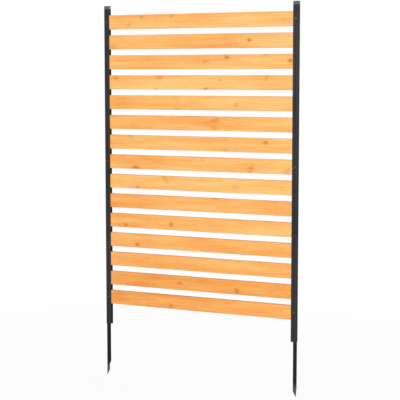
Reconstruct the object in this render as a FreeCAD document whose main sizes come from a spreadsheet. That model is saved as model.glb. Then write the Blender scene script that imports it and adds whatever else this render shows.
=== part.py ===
import FreeCAD, Part
import Sketcher
import math
import os
from FreeCAD import Placement, Rotation, Vector

# Garden privacy screen: fifteen level boards held between two channel posts on ground stakes.
# Frame: origin on the ground midway between the posts, +X along the boards, +Y to the back, +Z up.
# Millimetres throughout.

DRIVING_SIZES = [
    ("screen_width", 980, "over the outer faces of both posts"),
    ("slat_count", 15, "boards in the stack"),
    ("slat_height", 67, "board, edge to edge"),
    ("slat_thickness", 15, "board, face to face"),
    ("slat_gap", 28, "open height between two boards"),
    ("slat_ease", 1.6, "chamfer along the long edges of a board"),
    ("slat_end_play", 0.2, "between a board's end and the round of its post's inner corners"),
    ("slat_face_play", 1, "behind a board, to the rear flange of its post"),
    ("foot_margin", 102, "from the foot of the post up to the lowest board"),
    ("head_margin", 29, "from the highest board up to the end of the post"),
    ("post_flange", 27.5, "width of the channel's flanges, seen from the front"),
    ("post_wall", 2, "wall of the post's channel"),
    ("post_corner", 4, "outer radius of the channel's two bends"),
    ("post_lip", 0.5, "chamfer along the flanges' free edges"),
    ("groove_width", 2.6, "screw guide line along each flange"),
    ("groove_depth", 0.8, "screw guide line along each flange"),
    ("screw_hole", 4.5, "hole for a board screw in the front flange"),
    ("pilot_hole", 3.2, "hole for a board screw in the board"),
    ("screw_shank", 3.2, "board screw, over the core"),
    ("screw_length", 14, "board screw, under the head"),
    ("screw_point", 3.5, "length of the board screw's point"),
    ("screw_head", 8, "board screw, pan head"),
    ("screw_head_height", 2.6, "board screw, pan head"),
    ("screw_rim", 1.5, "upright rim of the pan head"),
    ("screw_head_flat", 4.8, "flat on top of the pan head"),
    ("recess_span", 4.4, "cross recess, tip to tip"),
    ("recess_blade", 1, "cross recess, width of a slot"),
    ("recess_depth", 1.6, "cross recess"),
    ("cap_height", 15, "the part of a cap that shows above its post"),
    ("cap_wall", 2, "cap and plug"),
    ("cap_edge", 1, "chamfer round the top of a cap and down its two small corners"),
    ("plug_length", 20, "plug below the cap, inside the channel"),
    ("plug_clearance", 0.15, "between the plug and the channel's walls"),
    ("plug_setback", 5, "from the flanges' free edges in to the plug"),
    ("spacer_wall", 2, "hollow spacer block between two boards"),
    ("spacer_play", 0.2, "between a spacer and the round of its post's inner corners"),
    ("spacer_setback", 5, "from the flanges' free edges in to the spacer"),
    ("stake_flange", 14, "width of the stake's flanges"),
    ("stake_wall", 2, "wall of the stake's channel"),
    ("stake_clearance", 0.25, "between the stake and the post's walls"),
    ("stake_corner", 1.5, "outer radius of the stake's two bends"),
    ("stake_exposed", 258, "stake below the foot of the post, to the sharp end of the cut"),
    ("stake_head_gap", 4, "from the top of the stake up to the lowest board"),
    ("point_rise_web", 46, "climb of the slanting cut across the stake's web"),
    ("point_rise_flange", 28, "climb of the slanting cut across a flange"),
    ("bolt_diameter", 6, "stake bolt"),
    ("bolt_hole", 6.6, "clearance hole for the stake bolt"),
    ("bolt_length", 12, "stake bolt, under the head"),
    ("bolt_head", 10.5, "stake bolt, button head"),
    ("bolt_head_height", 3.3, "stake bolt, button head"),
    ("bolt_head_flat", 6.4, "flat on top of the button head"),
    ("bolt_socket", 4, "hexagon socket, across flats"),
    ("bolt_socket_depth", 2, "hexagon socket"),
    ("bolt_inset", 8, "from the stake's web to the bolt's axis"),
    ("bolt_drop", 24, "from the top of the stake down to the upper bolt"),
    ("bolt_spacing", 50, "between the two bolts"),
    ("bolt_count", 2, "bolts in each stake"),
    ("nut_flats", 10, "nut, across flats"),
    ("nut_height", 5, "nut"),
]

# How far a cutter runs past the faces that it cuts.
CUT_PAST = 5.0
# How near two points lie that count as one.
TOUCHING = 0.01
# A hexagon's corner radius for one unit across its flats.
HEX_CORNER_PER_FLATS = 1 / math.sqrt(3)

DOC = FreeCAD.newDocument("PrivacyScreen")
SHEET = DOC.addObject("Spreadsheet::Sheet", "Sizes")


class Size:
    """A number together with the sheet expression that gives it; sums and shares keep both."""

    def __init__(self, value, text):
        self.value = value
        self.text = text

    @staticmethod
    def of(other):
        if isinstance(other, Size):
            return other
        return Size(float(other), repr(float(other)))

    def combined(self, other, sign, value):
        return Size(value, "(%s %s %s)" % (self.text, sign, Size.of(other).text))

    def __add__(self, other):
        return self.combined(other, "+", self.value + Size.of(other).value)

    def __radd__(self, other):
        return Size.of(other) + self

    def __sub__(self, other):
        return self.combined(other, "-", self.value - Size.of(other).value)

    def __rsub__(self, other):
        return Size.of(other) - self

    def __mul__(self, other):
        return self.combined(other, "*", self.value * Size.of(other).value)

    def __rmul__(self, other):
        return Size.of(other) * self

    def __truediv__(self, other):
        return self.combined(other, "/", self.value / Size.of(other).value)

    def __neg__(self):
        return self * -1


class Sizes:
    """The driving sizes by name, as Size values bound to the cells of the sheet."""

    def __init__(self):
        for row, (alias, value, note) in enumerate(DRIVING_SIZES, start=1):
            SHEET.set("A%d" % row, alias)
            SHEET.set("B%d" % row, str(value))
            SHEET.set("C%d" % row, note)
            SHEET.setAlias("B%d" % row, alias)
            setattr(self, alias, Size(float(value), "Sizes.%s" % alias))


size = Sizes()
DOC.recompute()

# ---- sizes that follow from the driving ones ----
SLAT_COUNT = int(size.slat_count.value)
BOLT_COUNT = int(size.bolt_count.value)
SCREWED_SLATS = [1, (SLAT_COUNT + 1) // 2, SLAT_COUNT]

half_width = size.screen_width / 2
slat_pitch = size.slat_height + size.slat_gap
stack_height = size.slat_height + slat_pitch * (size.slat_count - 1)
post_length = size.foot_margin + stack_height + size.head_margin
post_inside = size.slat_thickness + size.slat_face_play
post_depth = post_inside + size.post_wall * 2
post_front = -post_depth / 2
post_inner_corner = size.post_corner - size.post_wall
slat_inset = size.post_corner + size.slat_end_play
slat_length = size.screen_width - slat_inset * 2
slat_front = post_front + size.post_wall
screw_inset = size.post_flange / 2
stake_inset = size.post_wall + size.stake_clearance
stake_depth = post_inside - size.stake_clearance * 2
stake_top = size.foot_margin - size.stake_head_gap
stake_length = size.stake_exposed + stake_top
bolt_from_edge = stake_inset + size.bolt_inset
bolt_row = size.bolt_spacing * (size.bolt_count - 1)
top_bolt = stake_top - size.bolt_drop
lowest_bolt = top_bolt - bolt_row
screw_row = slat_pitch * (size.slat_count - 1)


# ---- helpers ----
def bind(feature, name, amount):
    """Tie one property of a feature to the sheet."""
    feature.setExpression(name, Size.of(amount).text)


def place(item, x, y, z, rotation=None):
    """Stand a finished sub-part in the screen's frame."""
    item.Placement = Placement(Vector(0, 0, 0), rotation or Rotation())
    for axis, amount in (("x", x), ("y", y), ("z", z)):
        bind(item, "Placement.Base.%s" % axis, amount)


def new_body(label):
    body = DOC.addObject("PartDesign::Body", label)
    body.Label = label
    return body


def origin_plane(body, role):
    return [item for item in body.Origin.OriginFeatures if item.Role == role][0]


def new_sketch(body, name, role, lift=None):
    """An empty sketch on one of the body's origin planes, lifted along the plane's normal."""
    sketch = body.newObject("Sketcher::SketchObject", name)
    sketch.AttachmentSupport = [(origin_plane(body, role), "")]
    sketch.MapMode = "FlatFace"
    if lift is not None:
        bind(sketch, "AttachmentOffset.Base.z", lift)
    return sketch


def pin_point(sketch, geometry, end, x, y):
    """Dimension one point of the sketch from the origin, across and up."""
    for kind, amount in (("DistanceX", Size.of(x)), ("DistanceY", Size.of(y))):
        constraint = Sketcher.Constraint(kind, -1, 1, geometry, end, amount.value)
        index = sketch.addConstraint(constraint)
        sketch.setExpression("Constraints[%d]" % index, amount.text)


def draw_polygon(sketch, corners):
    """A closed outline through corners given as pairs of sizes."""
    first = sketch.GeometryCount
    count = len(corners)
    spots = [Vector(Size.of(x).value, Size.of(y).value, 0) for x, y in corners]
    for index in range(count):
        sketch.addGeometry(Part.LineSegment(spots[index], spots[(index + 1) % count]), False)
    for index in range(count):
        after = first + (index + 1) % count
        sketch.addConstraint(Sketcher.Constraint("Coincident", first + index, 2, after, 1))
    for index, (x, y) in enumerate(corners):
        pin_point(sketch, first + index, 1, x, y)


def draw_rectangle(sketch, left, bottom, right, top):
    draw_polygon(sketch, [(left, bottom), (right, bottom), (right, top), (left, top)])


def draw_circle(sketch, x, y, diameter):
    centre = Vector(Size.of(x).value, Size.of(y).value, 0)
    across = Size.of(diameter)
    circle = Part.Circle(centre, Vector(0, 0, 1), across.value / 2)
    geometry = sketch.addGeometry(circle, False)
    index = sketch.addConstraint(Sketcher.Constraint("Diameter", geometry, across.value))
    sketch.setExpression("Constraints[%d]" % index, across.text)
    pin_point(sketch, geometry, 3, x, y)


def pad(body, name, sketch, length, reverse=False):
    feature = body.newObject("PartDesign::Pad", name)
    feature.Profile = sketch
    feature.Reversed = reverse
    bind(feature, "Length", length)
    DOC.recompute()
    return feature


def pocket(body, name, sketch, depth, reverse=False):
    """Cut a sketch into the body and make sure that it removed something."""
    before = body.Shape.Volume
    feature = body.newObject("PartDesign::Pocket", name)
    feature.Profile = sketch
    feature.Reversed = reverse
    bind(feature, "Length", depth)
    DOC.recompute()
    if not body.Shape.Volume < before:
        raise RuntimeError("%s of %s cuts nothing" % (name, body.Label))
    return feature


def repeat(body, name, features, sketch, axis, span, count):
    """A row of equal features along one axis of a sketch."""
    pattern = body.newObject("PartDesign::LinearPattern", name)
    pattern.Originals = features
    pattern.Direction = (sketch, [axis])
    pattern.Occurrences = count
    bind(pattern, "Length", span)
    body.Tip = pattern
    DOC.recompute()
    return pattern


def edges_at(shape, near):
    """Names of the edges whose ends all lie where near(point) says so."""
    names = []
    for index, edge in enumerate(shape.Edges, start=1):
        if all(near(vertex.Point) for vertex in edge.Vertexes):
            names.append("Edge%d" % index)
    return names


def edges_up_from(shape, spots):
    """Names of the upright edges that stand on one of the given x, y spots."""
    names = []
    for x, y in spots:
        names += edges_at(shape, lambda point: abs(point.x - x) + abs(point.y - y) < TOUCHING)
    return names


def fillet(body, name, base, names, radius):
    feature = body.newObject("PartDesign::Fillet", name)
    feature.Base = (base, names)
    bind(feature, "Radius", radius)
    DOC.recompute()
    return feature


def chamfer(body, name, base, names, width):
    feature = body.newObject("PartDesign::Chamfer", name)
    feature.Base = (base, names)
    bind(feature, "Size", width)
    DOC.recompute()
    return feature


# ---- sub-parts ----
def make_post(label, side):
    """Channel post, open towards the boards; side is -1 for the left post and 1 for the right."""
    body = new_body(label)
    flange = size.post_flange
    wall = size.post_wall
    depth = post_depth
    groove = size.groove_depth
    groove_left = screw_inset - size.groove_width / 2
    groove_right = screw_inset + size.groove_width / 2
    outline = [(0, 0), (groove_left, 0), (screw_inset, groove), (groove_right, 0), (flange, 0),
               (flange, wall), (wall, wall), (wall, depth - wall), (flange, depth - wall),
               (flange, depth), (groove_right, depth), (screw_inset, depth - groove),
               (groove_left, depth), (0, depth)]
    profile = new_sketch(body, "ChannelProfile", "XY_Plane")
    draw_polygon(profile, [(Size.of(inward) * -side, back) for inward, back in outline])
    channel = pad(body, "Channel", profile, post_length)

    corners = [(0, 0), (0, depth.value)]
    rounded = fillet(body, "OuterBends", channel,
                     edges_up_from(channel.Shape, corners), size.post_corner)
    inner_x = -side * wall.value
    corners = [(inner_x, wall.value), (inner_x, (depth - wall).value)]
    rounded = fillet(body, "InnerBends", rounded,
                     edges_up_from(rounded.Shape, corners), post_inner_corner)
    lip_x = -side * flange.value
    lips = [(lip_x, 0), (lip_x, wall.value), (lip_x, (depth - wall).value), (lip_x, depth.value)]
    chamfer(body, "FlangeLips", rounded, edges_up_from(rounded.Shape, lips), size.post_lip)

    lowest = size.foot_margin + size.slat_height / 2
    front = new_sketch(body, "ScrewHole", "XZ_Plane")
    draw_circle(front, screw_inset * -side, lowest, size.screw_hole)
    hole = pocket(body, "FrontScrewHole", front, wall)
    repeat(body, "FrontScrewHoles", [hole], front, "V_Axis", screw_row, len(SCREWED_SLATS))

    rear = new_sketch(body, "BoltHole", "XZ_Plane", -depth)
    draw_circle(rear, bolt_from_edge * -side, lowest_bolt, size.bolt_hole)
    hole = pocket(body, "RearBoltHole", rear, wall, True)
    repeat(body, "RearBoltHoles", [hole], rear, "V_Axis", bolt_row, BOLT_COUNT)
    place(body, half_width * side, post_front, 0)
    return body


def make_cap(label, side):
    """Moulded cap: a band flush with the post and a hollow plug that fits inside the channel."""
    body = new_body(label)
    flange = size.post_flange
    band = new_sketch(body, "BandOutline", "XY_Plane")
    draw_rectangle(band, 0, 0, flange * -side, post_depth)
    block = pad(body, "Band", band, size.cap_height)
    outside = [(0, 0), (0, post_depth.value)]
    inside = [(flange.value * -side, 0), (flange.value * -side, post_depth.value)]
    block = fillet(body, "OuterCorners", block, edges_up_from(block.Shape, outside), size.post_corner)
    block = chamfer(body, "InnerCorners", block, edges_up_from(block.Shape, inside), size.cap_edge)
    height = size.cap_height.value
    top = edges_at(block.Shape, lambda point: abs(point.z - height) < TOUCHING)
    chamfer(body, "TopEdge", block, top, size.cap_edge)

    outer = size.post_wall + size.plug_clearance
    inner = flange - size.plug_setback
    plug = new_sketch(body, "PlugOutline", "XY_Plane")
    draw_rectangle(plug, outer * -side, outer, inner * -side, post_depth - outer)
    stem = pad(body, "Plug", plug, size.plug_length, True)
    corners = [(outer.value * -side, y) for y in (outer.value, (post_depth - outer).value)]
    chamfer(body, "PlugCorners", stem, edges_up_from(stem.Shape, corners), post_inner_corner)

    shell = size.cap_wall
    hollow = new_sketch(body, "HollowOutline", "XY_Plane", -size.plug_length)
    draw_rectangle(hollow, (outer + shell) * -side, outer + shell,
                   (inner - shell) * -side, post_depth - outer - shell)
    pocket(body, "Hollow", hollow, size.plug_length + size.cap_height - shell, True)
    place(body, half_width * side, post_front, post_length)
    return body


def make_slat(number):
    """Planed board with eased long edges; the first, middle and last are drilled for screws."""
    body = new_body("slat_%02d" % number)
    section = new_sketch(body, "BoardSection", "YZ_Plane")
    draw_rectangle(section, 0, 0, size.slat_thickness, size.slat_height)
    board = pad(body, "Board", section, slat_length)
    long_edges = []
    for index, edge in enumerate(board.Shape.Edges, start=1):
        if edge.BoundBox.XLength > slat_length.value / 2:
            long_edges.append("Edge%d" % index)
    chamfer(body, "EasedEdges", board, long_edges, size.slat_ease)
    if number in SCREWED_SLATS:
        pilots = new_sketch(body, "PilotHoles", "XZ_Plane")
        from_end = screw_inset - slat_inset
        draw_circle(pilots, from_end, size.slat_height / 2, size.pilot_hole)
        draw_circle(pilots, slat_length - from_end, size.slat_height / 2, size.pilot_hole)
        pocket(body, "Pilots", pilots, size.screw_length - size.post_wall)
    place(body, -slat_length / 2, slat_front,
          size.foot_margin + slat_pitch * (size.slat_count - number))
    return body


def make_spacer(label, side, number):
    """Hollow block in the channel that carries board `number` on the board below it."""
    body = new_body(label)
    near = size.post_corner + size.spacer_play
    far = size.post_flange - size.spacer_setback
    shell = size.spacer_wall
    section = new_sketch(body, "SpacerSection", "XY_Plane")
    draw_rectangle(section, near * -side, 0, far * -side, size.slat_thickness)
    draw_rectangle(section, (near + shell) * -side, shell,
                   (far - shell) * -side, size.slat_thickness - shell)
    pad(body, "Spacer", section, size.slat_gap)
    place(body, half_width * side, slat_front,
          size.foot_margin + slat_pitch * (size.slat_count - number) - size.slat_gap)
    return body


def make_stake(label, side):
    """Ground stake: a small channel sawn to a point by one slanting plane, open to the boards."""
    body = new_body(label)
    flange = size.stake_flange
    wall = size.stake_wall
    depth = stake_depth
    outline = [(0, 0), (flange, 0), (flange, wall), (wall, wall),
               (wall, depth - wall), (flange, depth - wall), (flange, depth), (0, depth)]
    profile = new_sketch(body, "StakeProfile", "XY_Plane")
    draw_polygon(profile, [(Size.of(inward) * -side, back) for inward, back in outline])
    channel = pad(body, "StakeChannel", profile, stake_length)
    corners = [(0, 0), (0, depth.value)]
    fillet(body, "StakeBends", channel, edges_up_from(channel.Shape, corners), size.stake_corner)

    # The cut runs across the channel between two outlines, lowest at the web's front corner.
    climb = size.point_rise_web / depth
    slope = size.point_rise_flange / flange
    cut_faces = []
    for name, inward in (("CutAtWeb", Size.of(-CUT_PAST)), ("CutAtLips", flange + CUT_PAST)):
        sketch = new_sketch(body, name, "YZ_Plane", inward * -side)
        rise = slope * inward
        before = rise - climb * CUT_PAST
        behind = rise + climb * (depth + CUT_PAST)
        under = -size.point_rise_web
        draw_polygon(sketch, [(-CUT_PAST, before), (-CUT_PAST, under),
                              (depth + CUT_PAST, under), (depth + CUT_PAST, behind)])
        cut_faces.append(sketch)
    whole = body.Shape.Volume
    point = body.newObject("PartDesign::SubtractiveLoft", "SlantingCut")
    point.Profile = cut_faces[0]
    point.Sections = [cut_faces[1]]
    point.Ruled = True
    DOC.recompute()
    if not body.Shape.Volume < whole:
        raise RuntimeError("the point of %s cuts nothing" % label)

    holes = new_sketch(body, "BoltHole", "XZ_Plane", -depth)
    draw_circle(holes, size.bolt_inset * -side, size.stake_exposed + lowest_bolt, size.bolt_hole)
    hole = pocket(body, "BoltHoleThrough", holes, depth, True)
    repeat(body, "BoltHolesThrough", [hole], holes, "V_Axis", bolt_row, BOLT_COUNT)
    place(body, (half_width - stake_inset) * side, -stake_depth / 2, -size.stake_exposed)
    return body


def spin(body, name, sketch):
    """Turn a half section round the sketch's upright axis."""
    feature = body.newObject("PartDesign::Revolution", name)
    feature.Profile = sketch
    feature.ReferenceAxis = (sketch, ["V_Axis"])
    feature.Angle = 360
    DOC.recompute()
    return feature


def make_board_screws(label, side):
    """Three pan-head wood screws with a cross recess, through a post's front flange."""
    body = new_body(label)
    body.AllowCompound = True
    head = size.screw_head / 2
    shank = size.screw_shank / 2
    section = new_sketch(body, "ScrewSection", "XZ_Plane")
    draw_polygon(section, [(0, size.screw_head_height),
                           (size.screw_head_flat / 2, size.screw_head_height),
                           (head, size.screw_rim), (head, 0),
                           (shank, 0), (shank, size.screw_point - size.screw_length),
                           (0, -size.screw_length)])
    screw = spin(body, "Screw", section)
    cross = new_sketch(body, "CrossRecess", "XY_Plane", size.screw_head_height)
    span = size.recess_span / 2
    blade = size.recess_blade / 2
    draw_polygon(cross, [(span, -blade), (span, blade), (blade, blade), (blade, span),
                         (-blade, span), (-blade, blade), (-span, blade), (-span, -blade),
                         (-blade, -blade), (-blade, -span), (blade, -span), (blade, -blade)])
    recess = pocket(body, "Recess", cross, size.recess_depth)
    repeat(body, "ScrewRow", [screw, recess], cross, "V_Axis", screw_row, len(SCREWED_SLATS))
    place(body, (half_width - screw_inset) * side, post_front,
          size.foot_margin + size.slat_height / 2, Rotation(Vector(1, 0, 0), 90))
    return body


def make_stake_bolts(label, side):
    """Button-head bolts through the rear flange of a post and its stake."""
    body = new_body(label)
    body.AllowCompound = True
    head = size.bolt_head / 2
    shank = size.bolt_diameter / 2
    section = new_sketch(body, "BoltSection", "XZ_Plane")
    draw_polygon(section, [(0, size.bolt_head_height), (size.bolt_head_flat / 2, size.bolt_head_height),
                           (head, 0), (shank, 0),
                           (shank, -size.bolt_length), (0, -size.bolt_length)])
    bolt = spin(body, "Bolt", section)
    socket = new_sketch(body, "Socket", "XY_Plane", size.bolt_head_height)
    flats = size.bolt_socket / 2
    corner = size.bolt_socket * HEX_CORNER_PER_FLATS
    draw_polygon(socket, [(corner, 0), (corner / 2, flats), (-corner / 2, flats),
                          (-corner, 0), (-corner / 2, -flats), (corner / 2, -flats)])
    recess = pocket(body, "SocketRecess", socket, size.bolt_socket_depth)
    repeat(body, "BoltRow", [bolt, recess], socket, "V_Axis", bolt_row, BOLT_COUNT)
    place(body, (half_width - bolt_from_edge) * side, post_depth / 2, top_bolt,
          Rotation(Vector(1, 0, 0), -90))
    return body


def make_stake_nuts(label, side):
    """Hexagon nuts inside the stake, their flats along its web."""
    body = new_body(label)
    body.AllowCompound = True
    flats = size.nut_flats / 2
    corner = size.nut_flats * HEX_CORNER_PER_FLATS
    section = new_sketch(body, "NutSection", "XZ_Plane")
    draw_polygon(section, [(flats, -corner / 2), (flats, corner / 2), (0, corner),
                           (-flats, corner / 2), (-flats, -corner / 2), (0, -corner)])
    draw_circle(section, 0, 0, size.bolt_diameter)
    nut = pad(body, "Nut", section, size.nut_height)
    repeat(body, "NutRow", [nut], section, "V_Axis", bolt_row, BOLT_COUNT)
    inner_face = stake_depth / 2 - size.stake_wall
    place(body, (half_width - bolt_from_edge) * side, inner_face, lowest_bolt)
    return body


# ---- the assembly ----
parts = []
for side, hand in ((-1, "left"), (1, "right")):
    parts.append(make_post("%s_post" % hand, side))
    parts.append(make_cap("%s_post_cap" % hand, side))
    parts.append(make_stake("%s_ground_stake" % hand, side))
    parts.append(make_board_screws("%s_board_screws" % hand, side))
    parts.append(make_stake_bolts("%s_stake_bolts" % hand, side))
    parts.append(make_stake_nuts("%s_stake_nuts" % hand, side))
    for number in range(1, SLAT_COUNT):
        parts.append(make_spacer("%s_spacer_%02d" % (hand, number), side, number))
for number in range(1, SLAT_COUNT + 1):
    parts.append(make_slat(number))

DOC.recompute()
for item in DOC.Objects:
    if "Invalid" in item.State or "Error" in item.State:
        raise RuntimeError("%s did not build: %s" % (item.Label, item.State))
for item in parts:
    if item.Shape.isNull() or not item.Shape.isValid():
        raise RuntimeError("%s has no valid shape" % item.Label)

os.makedirs("parts", exist_ok=True)
for item in parts:
    item.Shape.exportStep("parts/%s.step" % item.Label)
print("%d sub-parts written" % len(parts))
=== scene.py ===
import math

import bpy
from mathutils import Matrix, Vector


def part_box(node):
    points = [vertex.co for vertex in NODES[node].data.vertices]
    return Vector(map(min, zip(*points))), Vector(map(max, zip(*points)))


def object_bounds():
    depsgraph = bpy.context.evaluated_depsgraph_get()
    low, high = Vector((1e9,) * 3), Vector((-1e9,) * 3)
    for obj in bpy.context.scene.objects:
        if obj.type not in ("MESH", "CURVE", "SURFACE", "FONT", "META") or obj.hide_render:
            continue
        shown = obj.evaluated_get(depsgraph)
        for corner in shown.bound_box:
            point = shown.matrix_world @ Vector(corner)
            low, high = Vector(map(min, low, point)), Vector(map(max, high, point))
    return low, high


# Garden privacy screen: fifteen stained boards between two coated channel posts on ground stakes.
# Metres, in the part's own frame: +X along the boards, +Y to the back, +Z up, ground at z = 0.

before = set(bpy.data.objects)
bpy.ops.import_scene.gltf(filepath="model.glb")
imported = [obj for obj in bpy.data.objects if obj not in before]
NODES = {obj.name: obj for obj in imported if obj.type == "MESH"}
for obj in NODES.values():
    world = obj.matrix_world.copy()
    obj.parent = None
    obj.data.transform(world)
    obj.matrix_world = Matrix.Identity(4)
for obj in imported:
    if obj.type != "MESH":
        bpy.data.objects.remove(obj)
cad_low, cad_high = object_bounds()

MM = 0.001
SLAT_COUNT = 15
BOARD_HEIGHT = 67 * MM
WHITE = (1.0, 1.0, 1.0, 1.0)
BLACK = (0.0, 0.0, 0.0, 1.0)


# ---------------------------------------------------------------- colours and node graphs
def linear(red, green, blue):
    """A colour given as it shows on screen, 0 to 255, in the linear values that shaders take."""
    def channel(level):
        # The curve of the sRGB standard.
        level = level / 255
        return level / 12.92 if level <= 0.04045 else ((level + 0.055) / 1.055) ** 2.4
    return (channel(red), channel(green), channel(blue), 1.0)


def tinted(colour, share):
    """The same colour, darker or lighter."""
    return tuple(min(1.0, level * share) for level in colour[:3]) + (1.0,)


# Nearly all of a noise lies in the first range, and most of it in the second.
NOISE_RANGE = (0.3, 0.7)
NOISE_MIDDLE_RANGE = (0.35, 0.65)
NOISE_MEAN = 0.5
# The mix node's sockets for colours: both inputs and the result.
MIX_A = 6
MIX_B = 7
MIX_RESULT = 2


class Graph:
    """A node material that is written as formulas; each call returns an output socket."""

    def __init__(self, name):
        self.material = bpy.data.materials.new(name)
        self.material.use_nodes = True
        self.nodes = self.material.node_tree.nodes
        self.links = self.material.node_tree.links
        self.nodes.clear()
        self.output = self.nodes.new("ShaderNodeOutputMaterial")
        self.place = self.nodes.new("ShaderNodeTexCoord").outputs["Object"]
        self.x, self.y, self.z = self.parts(self.place)

    def feed(self, socket, value):
        """Give an input socket an output socket or a constant."""
        if isinstance(value, bpy.types.NodeSocket):
            self.links.new(value, socket)
        else:
            socket.default_value = value

    def math(self, operation, a, b=None):
        node = self.nodes.new("ShaderNodeMath")
        node.operation = operation
        for socket, value in zip(node.inputs, (a, b)):
            if value is not None:
                self.feed(socket, value)
        return node.outputs[0]

    def add(self, a, b):
        return self.math("ADD", a, b)

    def sub(self, a, b):
        return self.math("SUBTRACT", a, b)

    def mul(self, a, b):
        return self.math("MULTIPLY", a, b)

    def weigh(self, a, b, share):
        """A share of a with the rest of b."""
        return self.add(self.mul(a, share), self.mul(b, 1 - share))

    def vector(self, x, y, z):
        node = self.nodes.new("ShaderNodeCombineXYZ")
        for socket, value in zip(node.inputs, (x, y, z)):
            self.feed(socket, value)
        return node.outputs[0]

    def parts(self, vector):
        """The x, y and z of a vector."""
        node = self.nodes.new("ShaderNodeSeparateXYZ")
        self.links.new(vector, node.inputs[0])
        return tuple(node.outputs)

    def length(self, vector):
        node = self.nodes.new("ShaderNodeVectorMath")
        node.operation = "LENGTH"
        self.feed(node.inputs[0], vector)
        return node.outputs["Value"]

    def noise(self, vector, scale, detail, roughness):
        """Soft noise about 0.5, as a number."""
        node = self.nodes.new("ShaderNodeTexNoise")
        for name, value in (("Vector", vector), ("Scale", scale), ("Detail", detail),
                            ("Roughness", roughness)):
            self.feed(node.inputs[name], value)
        return node.outputs[0]

    def stretched_noise(self, rates, detail, roughness):
        """Noise with its own number of changes per metre along x, y and z."""
        place = self.vector(self.mul(self.x, rates[0]), self.mul(self.y, rates[1]),
                            self.mul(self.z, rates[2]))
        return self.noise(place, 1.0, detail, roughness)

    def swing(self, noise, amount):
        """A noise as a change to both sides of 0."""
        return self.mul(self.sub(noise, NOISE_MEAN), amount)

    def remap(self, value, low, high, start=0.0, end=1.0, smooth=True):
        """From start at low to end at high, held outside them."""
        node = self.nodes.new("ShaderNodeMapRange")
        node.interpolation_type = "SMOOTHSTEP" if smooth else "LINEAR"
        node.clamp = True
        for name, amount in (("Value", value), ("From Min", low), ("From Max", high),
                             ("To Min", start), ("To Max", end)):
            self.feed(node.inputs[name], amount)
        return node.outputs["Result"]

    def vary(self, noise, value, down, up):
        """A value that a noise moves down and up by as much as is said."""
        return self.remap(noise, *NOISE_RANGE, value - down, value + up)

    def ramp(self, value, stops):
        """Colours along 0 to 1, from (place, colour) stops."""
        node = self.nodes.new("ShaderNodeValToRGB")
        elements = node.color_ramp.elements
        while len(elements) < len(stops):
            elements.new(0.5)
        for element, (place, colour) in zip(elements, stops):
            element.position = place
            element.color = colour
        self.feed(node.inputs[0], value)
        return node.outputs[0]

    def tints(self, value, span, colour, shares):
        """From a darker to a lighter tint of a colour, as a value goes through its span."""
        return self.ramp(value, [(end, tinted(colour, share)) for end, share in zip(span, shares)])

    def mottle(self, noise, colour, shares):
        """From a darker to a lighter tint of a colour, as a noise goes."""
        value = self.remap(noise, *NOISE_MIDDLE_RANGE, smooth=False)
        return self.tints(value, (0.0, 1.0), colour, shares)

    def blend(self, factor, a, b, kind="MIX"):
        node = self.nodes.new("ShaderNodeMix")
        node.data_type = "RGBA"
        node.blend_type = kind
        node.clamp_factor = True
        self.feed(node.inputs["Factor"], factor)
        self.feed(node.inputs[MIX_A], a)
        self.feed(node.inputs[MIX_B], b)
        return node.outputs[MIX_RESULT]

    def bump(self, height, strength):
        """A bump from a height in metres."""
        node = self.nodes.new("ShaderNodeBump")
        node.inputs["Strength"].default_value = strength
        node.inputs["Distance"].default_value = 1.0
        self.feed(node.inputs["Height"], height)
        return node.outputs[0]

    def finish(self, colour, roughness, normal, metallic=0.0, **extra):
        """One principled shader; extra names more of its inputs, with _ for a space."""
        shader = self.nodes.new("ShaderNodeBsdfPrincipled")
        self.feed(shader.inputs["Base Color"], colour)
        self.feed(shader.inputs["Roughness"], roughness)
        self.feed(shader.inputs["Metallic"], metallic)
        self.feed(shader.inputs["Normal"], normal)
        for name, value in extra.items():
            self.feed(shader.inputs[name.replace("_", " ")], value)
        self.links.new(shader.outputs[0], self.output.inputs["Surface"])
        return self.material


def wear(node, material):
    """Every surface of a CAD node takes one material."""
    for slot in NODES[node].material_slots:
        slot.material = material


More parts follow.
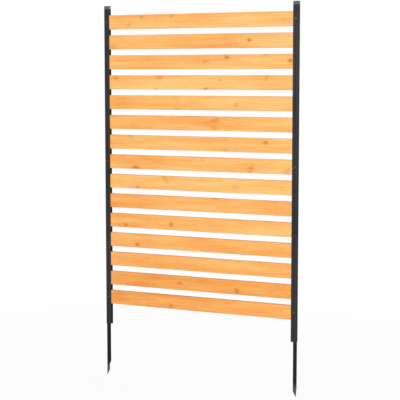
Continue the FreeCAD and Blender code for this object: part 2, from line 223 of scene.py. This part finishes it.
# ---------------------------------------------------------------- boards
# Knots of each board, the top one first: millimetres from the middle of the screen, height as a
# share of the board from its top edge, half length and half height in millimetres, lean in degrees
# and darkness. A tall narrow one is a spike knot that the saw cut lengthwise.
KNOTS = {
    1: [(-290, .16, 6, 4, 10, .60), (-135, .15, 6, 4, -30, .75), (-359, .72, 7, 4, -35, .55)],
    2: [(253, .47, 6, 6, 0, .80)],
    3: [(144, .19, 7, 5, 10, .85), (36, .46, 9, 5, -10, .45), (451, .44, 6, 6, 0, .95),
        (327, .03, 14, 2, 0, .65)],
    4: [(-428, .20, 9, 5, 0, .60), (-198, .16, 10, 5, 0, .43), (108, .33, 9, 1.6, 3, .65),
        (338, .18, 4, 8, 28, .55), (-215, .97, 7, 3, 0, .60), (40, .93, 8, 3, 8, .65)],
    5: [(195, .61, 8, 6, -40, .50), (-112, .12, 11, 4, 0, .30), (-104, .94, 9, 3, 0, .50)],
    6: [(90, .34, 9, 17, 14, .26), (84, .76, 7, 11, 4, .20), (-325, .92, 9, 2, 0, .30)],
    7: [(-352, .07, 8, 3, 0, .70), (336, .30, 7, 5, 10, .95), (139, .88, 7, 4, 0, .40),
        (139, .05, 7, 3, 0, .30)],
    8: [(-325, .89, 11, 5, 5, .95), (264, .70, 7, 13, 32, .52), (256, .92, 10, 4, 0, .30),
        (432, .80, 6, 10, 24, .44), (446, .72, 6, 9, 24, .48), (436, .94, 10, 4, 0, .26),
        (24, .25, 6, 3, 25, .35)],
    9: [(-170, .22, 6, 16, -50, .40), (-316, .86, 5, 4, 0, .55), (187, .58, 10, 7, 10, .36)],
    10: [(88, .02, 9, 3, 0, .50)],
    11: [(-382, .82, 6, 6, 0, .68), (-139, .60, 5.5, 7, 0, .90)],
    12: [(-320, .78, 7, 5, 15, .80), (242, .36, 8, 4, 5, .25)],
    13: [(116, .59, 9, 4, 0, .25), (372, .38, 10, 5, 0, .20)],
    14: [(-94, .50, 8, 5, 5, .60), (-370, .88, 8, 3, 10, .50), (197, .72, 8, 7, 0, 1.0)],
    15: [(-139, .76, 7, 5, 25, .70), (-152, .86, 5, 3.5, 10, .40)],
}
# For each board: warmth of its stain, slope of the grain in degrees, and in millimetres the growth
# rings' spacing and the heart of the tree: its height over the board's middle, and its y.
BOARDS = {
    1: (.30, 0.3, 6.5, -120, 60),
    2: (.38, -0.6, 5.5, 150, 70),
    3: (.32, 0.2, 7.0, -160, 90),
    4: (.22, 0.0, 6.0, 170, 60),
    5: (.37, 0.1, 5.0, -130, 55),
    6: (.52, -0.1, 5.5, 190, 70),
    7: (.34, 0.2, 6.0, -140, 80),
    8: (.38, 0.1, 6.5, 160, 60),
    9: (.24, -0.3, 6.0, -170, 60),
    10: (.52, 0.3, 5.0, 140, 75),
    11: (.30, 0.5, 5.5, -150, 85),
    12: (.51, 0.6, 5.5, 165, 60),
    13: (.47, 1.1, 5.0, -145, 65),
    14: (.74, 0.8, 5.0, 150, 70),
    15: (.64, 0.9, 6.0, -160, 75),
}
# Places where a board is paler or more amber than the rest of it: millimetres from the middle,
# share of the height, half length and half height in millimetres, and the change of warmth.
PATCHES = {
    1: [(0, .22, 620, 16, .16), (0, .80, 620, 16, -.20)],
    2: [(-445, .80, 45, 20, .45), (-360, .97, 70, 8, -.30)],
    5: [(-80, .35, 17, 22, -.40), (-400, .35, 90, 40, .25)],
    6: [(60, .35, 40, 18, .18)],
    9: [(-110, .50, 260, 26, -.15), (180, .62, 90, 18, .22)],
    14: [(-300, .80, 130, 16, .20)],
    15: [(-430, .45, 90, 40, .22), (300, .60, 160, 14, .15)],
}
PATCH_EDGE = (1.0, 0.25)  # a patch starts at its outline, 1, and is full this near its middle

PALE = linear(250, 198, 122)
HONEY = linear(249, 179, 99)
AMBER = linear(240, 157, 74)
RUSSET = linear(226, 139, 60)
STAIN = [(0.0, PALE), (0.34, HONEY), (0.75, AMBER), (1.0, RUSSET)]
# Colour of the painted shade on the boards' top and bottom faces and chamfers.
ARRIS_PAINTED_SHADE = linear(214, 158, 98)
KNOT_BROWN = linear(186, 102, 12)
KNOT_GLOW = linear(236, 160, 76)
PORE_SHADE = [(0.30, (0.52, 0.36, 0.22, 1.0)), (0.52, WHITE)]

# Parts of a knot: the distance where each starts, the one where it is full, and its strength.
# Distances from a knot's middle count in its half sizes, so its outline lies at 1.
KNOT_DISC = (1.65, 1.15)
KNOT_DISC_STRENGTH = 0.52
KNOT_HEART = (0.9, 0.1)
KNOT_HEART_STRENGTH = 0.33
KNOT_SMEAR = (3.0, 1.0)
KNOT_SMEAR_STRENGTH = 0.27
KNOT_RING_RATE = 15.0  # radians per half size
KNOT_RING_STRENGTH = 0.09
KNOT_RAGGED_NOISE = (260.0, 2.0, 0.6)  # scale, detail and roughness, as in every noise
KNOT_RAGGED_SWING = 0.55
# A knot's push on the grain and its glow fade with the distance. Along the board only a share of the
# distance counts, so both reach further that way.
PUSH_ALONG = 0.42
GLOW_ALONG = 0.45
GLOW_EDGE = (2.2, 0.3)  # in radii of the knot
GLOW_STRENGTH = 0.55

# Noises of the wood: changes per metre along the board, through it and across its grain, with the
# detail and roughness. Where "through" is None, each board shows its own slice of the noise.
DRIFT = (1.6, None, 6.0, 2.0, 0.5)
UNEVEN = (0.0, None, 70.0, 1.0, 0.5)
FIBRE = (9.0, 420.0, 420.0, 3.0, 0.65)
PORES = (40.0, 1500.0, 1500.0, 2.0, 0.5)
BAND = (2.2, None, 34.0, 2.0, 0.5)
CLOUD = (3.1, None, 9.0, 2.0, 0.5)
STREAK = (7.0, 60.0, 130.0, 3.0, 0.6)
SEED_STEP = 3.7         # between the noises of two boards
DRIFT_REACH = 16 * MM   # how far the grain wanders
UNEVEN_TURNS = 1.3      # growth rings

# In a growth ring, from 0 to 1, the late wood darkens over one span and ends over the other.
LATE_RISE = (0.25, 0.88)
LATE_FALL = (1.0, 0.90)
LATE_MEAN = 0.3

# How much each noise, and the late wood, changes the tone of the wood.
PAINTED_LIGHT_PER_METRE = -0.16  # painted light: the boards get paler towards the right
BAND_TONE = 1.25
CLOUD_TONE = 0.9
STREAK_TONE = 1.2
LATE_TONE = 0.40
FIBRE_TONE = 0.7
TONE_SCALE = 0.75

# Painted shade on the boards' top and bottom faces and chamfers: where it starts and is full, and
# how strong it is.
EDGE_SHADE_HEIGHTS = (31.7 * MM, 33.0 * MM)  # heights over or under the board's middle
EDGE_SHADE_STRENGTH = 0.5
PORE_STRENGTH = 0.32
LATE_RELIEF = 0.05 * MM
FIBRE_RELIEF = 0.10 * MM
PORE_RELIEF = 0.06 * MM
WOOD_BUMP = 0.8
WOOD_ROUGHNESS = 0.53
WOOD_ROUGHNESS_SWING = (0.07, 0.07)  # down and up
KNOT_ROUGHNESS = -0.08
WOOD_SPECULAR = 0.25


def board_offset(g, x, share, middle_z):
    """How far a point lies from a place on a board, along it and up."""
    return g.sub(g.x, x * MM), g.sub(g.z, middle_z + (0.5 - share) * BOARD_HEIGHT)


def knot_masks(g, knot, middle_z):
    """How far one knot pushes the grain aside, with its core and the glow around it."""
    x, share, half_x, half_z, lean, dark = knot
    across, up = board_offset(g, x, share, middle_z)
    turn = math.radians(lean)
    along_x = g.sub(g.mul(across, math.cos(turn)), g.mul(up, math.sin(turn)))
    along_z = g.add(g.mul(across, math.sin(turn)), g.mul(up, math.cos(turn)))
    squeezed = g.vector(g.mul(along_x, 1 / (half_x * MM)), g.mul(along_z, 1 / (half_z * MM)), 0.0)
    ragged = g.noise(g.place, *KNOT_RAGGED_NOISE)
    distance = g.add(g.length(squeezed), g.swing(ragged, KNOT_RAGGED_SWING))

    # A ringed disc with a darker heart, in a smear of resin.
    rings = g.math("SINE", g.mul(distance, KNOT_RING_RATE))
    disc_shade = g.add(g.mul(rings, KNOT_RING_STRENGTH), KNOT_DISC_STRENGTH)
    disc = g.mul(g.remap(distance, *KNOT_DISC), disc_shade)
    heart = g.mul(g.remap(distance, *KNOT_HEART), KNOT_HEART_STRENGTH)
    smear = g.mul(g.remap(distance, *KNOT_SMEAR), KNOT_SMEAR_STRENGTH)
    core = g.mul(g.math("MAXIMUM", g.add(disc, heart), smear), dark)

    radius = math.sqrt(half_x * half_z) * MM
    pushed = g.length(g.vector(g.mul(across, PUSH_ALONG), up, 0.0))
    reach = g.math("MAXIMUM", g.math("POWER", pushed, 2.0), radius * radius)
    push = g.math("DIVIDE", g.mul(up, radius * radius), reach)
    halo = g.length(g.vector(g.mul(across, GLOW_ALONG), up, 0.0))
    glow = g.mul(g.remap(halo, radius * GLOW_EDGE[0], radius * GLOW_EDGE[1]), dark)
    return push, core, glow


def soft_patch(g, patch, middle_z):
    """A change of warmth that fades out to an ellipse."""
    x, share, half_x, half_z, change = patch
    across, up = board_offset(g, x, share, middle_z)
    squeezed = g.vector(g.mul(across, 1 / (half_x * MM)), g.mul(up, 1 / (half_z * MM)), 0.0)
    return g.remap(g.length(squeezed), *PATCH_EDGE, 0.0, change)


def wood_noise(g, layer, height, seed, shift=0.0):
    """One noise of the wood, along the board and over its height or its grain."""
    along, through, across, detail, roughness = layer
    depth = seed if through is None else g.mul(g.y, through)
    place = g.vector(g.add(g.mul(g.x, along), shift), depth, g.mul(height, across))
    return g.noise(place, 1.0, detail, roughness)


def board_wood(number):
    """Stained softwood cut from the log: rings round a heart line, long fibres, knots."""
    warmth, slope, spacing, heart_z, heart_y = BOARDS[number]
    low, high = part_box("slat_%02d" % number)
    middle_z = (low.z + high.z) / 2
    g = Graph("board_wood_%02d" % number)
    seed = number * SEED_STEP

    pushes, cores, glows = 0.0, 0.0, 0.0
    for knot in KNOTS[number]:
        push, core, glow = knot_masks(g, knot, middle_z)
        pushes = g.add(pushes, push)
        cores = g.math("MAXIMUM", cores, core)
        glows = g.math("MAXIMUM", glows, glow)

    # Height in the board as the grain runs: sloped, wandering, and pushed aside by the knots.
    up = g.sub(g.z, middle_z)
    tilted = g.sub(up, g.mul(g.x, math.tan(math.radians(slope))))
    drift = wood_noise(g, DRIFT, g.z, seed)
    grain = g.add(g.sub(tilted, pushes), g.swing(drift, DRIFT_REACH))

    # Growth rings round the heart of the tree.
    deep = g.sub(g.y, heart_y * MM)
    high_up = g.sub(grain, heart_z * MM)
    radius = g.length(g.vector(0.0, deep, high_up))
    uneven = wood_noise(g, UNEVEN, grain, seed, seed)
    turns = g.add(g.mul(radius, 1 / (spacing * MM)), g.mul(uneven, UNEVEN_TURNS))
    ring = g.math("FRACT", turns)
    late = g.mul(g.remap(ring, *LATE_RISE), g.remap(ring, *LATE_FALL))

    # Fibres along the board, and slow changes of tone.
    fibre = wood_noise(g, FIBRE, grain, seed)
    pores = wood_noise(g, PORES, grain, seed)
    band = wood_noise(g, BAND, grain, seed, seed)
    cloud = wood_noise(g, CLOUD, g.z, seed, seed * 2)
    streak = wood_noise(g, STREAK, grain, seed, seed)

    # Painted light: every board's stain gets paler towards the right, as a sheen there.
    tone = g.add(warmth, g.mul(g.x, PAINTED_LIGHT_PER_METRE))
    tone = g.add(tone, g.swing(band, BAND_TONE))
    tone = g.add(tone, g.swing(cloud, CLOUD_TONE))
    tone = g.add(tone, g.swing(streak, STREAK_TONE))
    tone = g.add(tone, g.mul(g.sub(late, LATE_MEAN), LATE_TONE))
    tone = g.add(tone, g.swing(fibre, FIBRE_TONE))
    for patch in PATCHES.get(number, []):
        tone = g.add(tone, soft_patch(g, patch, middle_z))
    colour = g.ramp(g.mul(tone, TONE_SCALE), STAIN)
    colour = g.blend(g.mul(glows, GLOW_STRENGTH), colour, KNOT_GLOW)
    colour = g.blend(cores, colour, KNOT_BROWN)

    # Painted shade darkens the boards' top and bottom faces and their chamfers, and the pores hold
    # more stain.
    painted_edge_shade = g.remap(g.math("ABSOLUTE", up), *EDGE_SHADE_HEIGHTS)
    colour = g.blend(g.mul(painted_edge_shade, EDGE_SHADE_STRENGTH), colour, ARRIS_PAINTED_SHADE, "MULTIPLY")
    colour = g.blend(PORE_STRENGTH, colour, g.ramp(pores, PORE_SHADE), "MULTIPLY")

    relief = g.add(g.mul(late, LATE_RELIEF), g.mul(fibre, FIBRE_RELIEF))
    relief = g.add(relief, g.mul(pores, PORE_RELIEF))
    roughness = g.vary(fibre, WOOD_ROUGHNESS, *WOOD_ROUGHNESS_SWING)
    roughness = g.add(roughness, g.mul(cores, KNOT_ROUGHNESS))
    return g.finish(colour, roughness, g.bump(relief, WOOD_BUMP), Specular_IOR_Level=WOOD_SPECULAR)


for number in range(1, SLAT_COUNT + 1):
    wear("slat_%02d" % number, board_wood(number))


# ---------------------------------------------------------------- coated steel
screw_low, screw_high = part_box("right_board_screws")
GUIDE_LINE_X = (screw_low.x + screw_high.x) / 2
# Painted shade in the screw guide line's groove: how far from the line it starts and is full, and
# how dark it gets.
GROOVE_SHADE_EDGE = (1.6 * MM, 0.9 * MM)
GUIDE_LINE_PAINTED_SHADE = 0.55

ORANGE_PEEL = (900.0, 2.0, 0.5)
POST_SPECKS = (3800.0, 2.0, 0.6)
POST_CLOUD = ((6.0, 6.0, 2.2), 3.0, 0.6)  # changes per metre, detail and roughness
POST_PEEL_RELIEF = 0.10 * MM
POST_SPECK_RELIEF = 0.03 * MM
POST_BUMP = 0.9
POST_COAT_ROUGHNESS = 0.30
POST_ROUGHNESS_SWING = (0.06, 0.07)  # down and up
SPECK_SHARE = 0.5                    # of the tone's noise
CLOUD_SHARE = 0.7                    # of the roughness's noise

STAKE_SPECKS = (3200.0, 2.0, 0.6)
STAKE_DUST = ((60.0, 60.0, 14.0), 4.0, 0.6)
STAKE_SCUFFS = ((800.0, 800.0, 50.0), 4.0, 0.65)
SAW_STROKES = ((300.0, 300.0, 1600.0), 3.0, 0.6)
STAKE_PEEL_RELIEF = 0.08 * MM
STAKE_SPECK_RELIEF = 0.03 * MM
SAW_RELIEF = 0.05 * MM
STAKE_BUMP = 0.8
STAKE_ROUGHNESS = 0.48
STAKE_ROUGHNESS_SWING = (0.06, 0.06)
DUST_SPAN = (0.3, 0.75)
DUST_TINTS = (0.85, 1.25)
STAKE_COAT_ROUGHNESS = 0.35
CUT_ROUGHNESS = -0.08
CUT_METAL = 0.85
CUT_SLANT = (0.12, 0.16)    # the z of the saw cut's normal, which no other face so low down has
CUT_HEIGHT = (-0.13, -0.14)
THIN_HEIGHT = (-0.192, -0.222)
THIN_STRENGTH = 0.9
SCUFF_SWING = 0.15          # how far scuffs and dust move the height where the coat gets thin
DUST_SWING = 0.04
THIN_COAT = linear(92, 93, 94)
BARE_STEEL = [(0.3, (0.42, 0.42, 0.43, 1.0)), (0.7, (0.70, 0.70, 0.71, 1.0))]


def powder_coat(name, colour, roughness, speckle, gloss):
    """Baked coating: a fine orange peel with a low satin gloss, and painted shade down the screw
    guide line's groove.
    """
    g = Graph(name)
    peel = g.noise(g.place, *ORANGE_PEEL)
    specks = g.noise(g.place, *POST_SPECKS)
    cloud = g.stretched_noise(*POST_CLOUD)
    shade = g.mottle(g.weigh(specks, cloud, SPECK_SHARE), colour, (1 - speckle, 1 + speckle))
    # Painted shade: the coat goes darker inside the guide line's groove, where the recess lies in
    # shade.
    off_line = g.math("ABSOLUTE", g.sub(g.math("ABSOLUTE", g.x), GUIDE_LINE_X))
    line = g.remap(off_line, *GROOVE_SHADE_EDGE, 0.0, GUIDE_LINE_PAINTED_SHADE)
    shade = g.blend(line, shade, BLACK)
    rough = g.vary(g.weigh(cloud, peel, CLOUD_SHARE), roughness, *POST_ROUGHNESS_SWING)
    relief = g.add(g.mul(peel, POST_PEEL_RELIEF), g.mul(specks, POST_SPECK_RELIEF))
    bump = g.bump(relief, POST_BUMP)
    return g.finish(shade, rough, bump, Specular_IOR_Level=0.0, Coat_Weight=gloss,
                    Coat_Roughness=POST_COAT_ROUGHNESS, Coat_Normal=bump)


def sawn_stake(name, colour, gloss):
    """Coated steel, sawn to its point after coating: the cut is bare and the coat thins above it."""
    g = Graph(name)
    peel = g.noise(g.place, *ORANGE_PEEL)
    specks = g.noise(g.place, *STAKE_SPECKS)
    dust = g.stretched_noise(*STAKE_DUST)
    scuffs = g.stretched_noise(*STAKE_SCUFFS)
    strokes = g.stretched_noise(*SAW_STROKES)

    facing = g.parts(g.nodes.new("ShaderNodeNewGeometry").outputs["True Normal"])
    slant = g.math("ABSOLUTE", facing[2])
    cut = g.mul(g.remap(slant, *CUT_SLANT), g.remap(g.z, *CUT_HEIGHT))
    ragged = g.add(g.swing(scuffs, SCUFF_SWING), g.swing(dust, DUST_SWING))
    thin = g.mul(g.remap(g.add(g.z, ragged), *THIN_HEIGHT), THIN_STRENGTH)

    shade = g.blend(thin, g.tints(dust, DUST_SPAN, colour, DUST_TINTS), THIN_COAT)
    shade = g.blend(cut, shade, g.ramp(strokes, BARE_STEEL))
    rough = g.vary(dust, STAKE_ROUGHNESS, *STAKE_ROUGHNESS_SWING)
    rough = g.add(g.mul(cut, CUT_ROUGHNESS), rough)
    relief = g.add(g.mul(peel, STAKE_PEEL_RELIEF), g.mul(specks, STAKE_SPECK_RELIEF))
    relief = g.add(relief, g.mul(g.mul(cut, strokes), SAW_RELIEF))
    return g.finish(shade, rough, g.bump(relief, STAKE_BUMP), metallic=g.mul(cut, CUT_METAL),
                    Specular_IOR_Level=0.0, Coat_Weight=gloss, Coat_Roughness=STAKE_COAT_ROUGHNESS)


# ---------------------------------------------------------------- plastic and fasteners
PLASTIC_GRAIN = (1700.0, 3.0, 0.65)
PLASTIC_CLOUD = (45.0, 2.0, 0.5)
PLASTIC_RELIEF = 0.10 * MM
PLASTIC_BUMP = 0.9
PLASTIC_GRAIN_SHARE = 0.6
PLASTIC_TINTS = (0.82, 1.16)
PLASTIC_ROUGHNESS_SWING = (0.05, 0.06)
TURNING_MARKS = (5200.0, 3.0, 0.6)
PLATING_HAZE = (420.0, 3.0, 0.6)
TURNING_RELIEF = 0.01 * MM
TURNING_BUMP = 0.6
PLATING_TINTS = (0.80, 1.18)
PLATING_ROUGHNESS_SWING = (0.07, 0.10)


def moulded_plastic(name, colour, roughness):
    """Moulded plastic with a spark-eroded texture."""
    g = Graph(name)
    grain = g.noise(g.place, *PLASTIC_GRAIN)
    cloud = g.noise(g.place, *PLASTIC_CLOUD)
    shade = g.mottle(g.weigh(grain, cloud, PLASTIC_GRAIN_SHARE), colour, PLASTIC_TINTS)
    rough = g.vary(grain, roughness, *PLASTIC_ROUGHNESS_SWING)
    return g.finish(shade, rough, g.bump(g.mul(grain, PLASTIC_RELIEF), PLASTIC_BUMP))


def plated_steel(name, colour, roughness):
    """Plated fastener: metal with fine turning marks and a little haze."""
    g = Graph(name)
    marks = g.noise(g.place, *TURNING_MARKS)
    haze = g.noise(g.place, *PLATING_HAZE)
    shade = g.tints(haze, NOISE_RANGE, colour, PLATING_TINTS)
    rough = g.vary(haze, roughness, *PLATING_ROUGHNESS_SWING)
    return g.finish(shade, rough, g.bump(g.mul(marks, TURNING_RELIEF), TURNING_BUMP), metallic=1.0)


post_coating = powder_coat("post_coating", linear(53, 53, 56), roughness=0.46, speckle=0.24,
                           gloss=0.10)
stake_coating = sawn_stake("stake_coating", linear(38, 38, 40), gloss=0.06)
cap_plastic = moulded_plastic("cap_plastic", linear(72, 73, 74), roughness=0.52)
spacer_plastic = moulded_plastic("spacer_plastic", linear(42, 42, 43), roughness=0.55)
screw_steel = plated_steel("screw_steel", (0.09, 0.09, 0.095, 1.0), roughness=0.40)
bolt_steel = plated_steel("bolt_steel", (0.42, 0.42, 0.43, 1.0), roughness=0.34)

for hand in ("left", "right"):
    wear("%s_post" % hand, post_coating)
    wear("%s_post_cap" % hand, cap_plastic)
    wear("%s_ground_stake" % hand, stake_coating)
    wear("%s_board_screws" % hand, screw_steel)
    wear("%s_stake_bolts" % hand, bolt_steel)
    wear("%s_stake_nuts" % hand, bolt_steel)
    for number in range(1, SLAT_COUNT):
        wear("%s_spacer_%02d" % (hand, number), spacer_plastic)


# ---------------------------------------------------------------- floor and backdrop
FLOOR_HALF = 9.0
FLOOR_GREY = (0.88, 0.88, 0.88, 1.0)
# How much of the floor is plain white to the camera, and at what distances from the middle.
FLOOR_WHITE_NEAR = 0.88
FLOOR_WHITE_FAR = 1.0
FLOOR_NEAR = 0.8
FLOOR_FAR = 2.6
WORLD_LIGHT = 0.25
WORLD_PLAIN = 1.0


def background_rays(nodes, links):
    """1 for rays that should meet the plain white background: camera, glossy and transmission."""
    path = nodes.new("ShaderNodeLightPath")
    total = path.outputs["Is Camera Ray"]
    for name in ("Is Glossy Ray", "Is Transmission Ray"):
        either = nodes.new("ShaderNodeMath")
        either.operation = "MAXIMUM"
        links.new(total, either.inputs[0])
        links.new(path.outputs[name], either.inputs[1])
        total = either.outputs[0]
    return total


def mixed_shaders(nodes, links, factor, first, second):
    """The first shader where the factor is 0, the second where it is 1."""
    mix = nodes.new("ShaderNodeMixShader")
    links.new(factor, mix.inputs[0])
    links.new(first, mix.inputs[1])
    links.new(second, mix.inputs[2])
    return mix.outputs[0]


def floor_material():
    """Pale floor: white to the camera, with a share of its own shade near the object."""
    g = Graph("studio_floor")
    diffuse = g.nodes.new("ShaderNodeBsdfDiffuse")
    diffuse.inputs["Color"].default_value = FLOOR_GREY
    white = g.nodes.new("ShaderNodeEmission")
    white.inputs["Color"].default_value = WHITE
    white.inputs["Strength"].default_value = 1.0
    away = g.length(g.vector(g.x, g.y, 0.0))
    share = g.remap(away, FLOOR_NEAR, FLOOR_FAR, FLOOR_WHITE_NEAR, FLOOR_WHITE_FAR)
    glow = g.mul(background_rays(g.nodes, g.links), share)
    surface = mixed_shaders(g.nodes, g.links, glow, diffuse.outputs[0], white.outputs[0])
    g.links.new(surface, g.output.inputs["Surface"])
    return g.material


def world_background(nodes, strength):
    """A white background of one strength."""
    background = nodes.new("ShaderNodeBackground")
    background.inputs["Color"].default_value = WHITE
    background.inputs["Strength"].default_value = strength
    return background.outputs[0]


floor_mesh = bpy.data.meshes.new("studio_floor")
floor_mesh.from_pydata([(-FLOOR_HALF, -FLOOR_HALF, 0), (FLOOR_HALF, -FLOOR_HALF, 0),
                        (FLOOR_HALF, FLOOR_HALF, 0), (-FLOOR_HALF, FLOOR_HALF, 0)],
                       [], [(0, 1, 2, 3)])
floor_mesh.materials.append(floor_material())
floor = bpy.data.objects.new("studio_floor", floor_mesh)
bpy.context.scene.collection.objects.link(floor)
floor.location.z = cad_low.z

world = bpy.data.worlds.new("studio")
bpy.context.scene.world = world
world.use_nodes = True
tree = world.node_tree
tree.nodes.clear()
backdrop = mixed_shaders(tree.nodes, tree.links, background_rays(tree.nodes, tree.links),
                         world_background(tree.nodes, WORLD_LIGHT),
                         world_background(tree.nodes, WORLD_PLAIN))
world_out = tree.nodes.new("ShaderNodeOutputWorld")
tree.links.new(backdrop, world_out.inputs["Surface"])


# ---------------------------------------------------------------- lamps and camera
def lamp(name, place, target, size, power):
    """A rectangular lamp that faces its target; size is its width and height, power is in watts."""
    light = bpy.data.lights.new(name, "AREA")
    light.shape = "RECTANGLE"
    light.size, light.size_y = size
    light.energy = power
    holder = bpy.data.objects.new(name, light)
    bpy.context.scene.collection.objects.link(holder)
    holder.location = place
    holder.rotation_euler = (Vector(target) - Vector(place)).to_track_quat("-Z", "Y").to_euler()


AIM = (0.0, 0.0, 0.65)
FILL_AIM = (0.35, 0.0, 0.65)
WIDE = (2.4, 2.4)
NARROW = (1.4, 2.2)
lamp("key", (-1.1, -4.9, 2.4), AIM, WIDE, power=116)
lamp("fill", (1.5, -2.8, 0.9), FILL_AIM, NARROW, power=31)
lamp("top", (0.0, 0.4, 3.9), AIM, WIDE, power=45)
lamp("rear", (0.6, 4.4, 2.0), AIM, WIDE, power=104)

CAMERA_PLACE = (2.0704, -4.7666, 1.2104)
CAMERA_YAW = math.radians(23.408)
CAMERA_TILT = math.radians(5.333)
CAMERA_SHIFT = -0.05
SENSOR_MM = 36
LENS_MM = 100.286
lens = bpy.data.cameras.new("camera")
lens.sensor_width = SENSOR_MM
lens.lens = LENS_MM
lens.shift_y = CAMERA_SHIFT
camera = bpy.data.objects.new("camera", lens)
bpy.context.scene.collection.objects.link(camera)
camera.location = CAMERA_PLACE
camera.rotation_euler = (math.pi / 2 - CAMERA_TILT, 0, CAMERA_YAW)
bpy.context.scene.camera = camera

bpy.context.scene.view_settings.view_transform = "Standard"
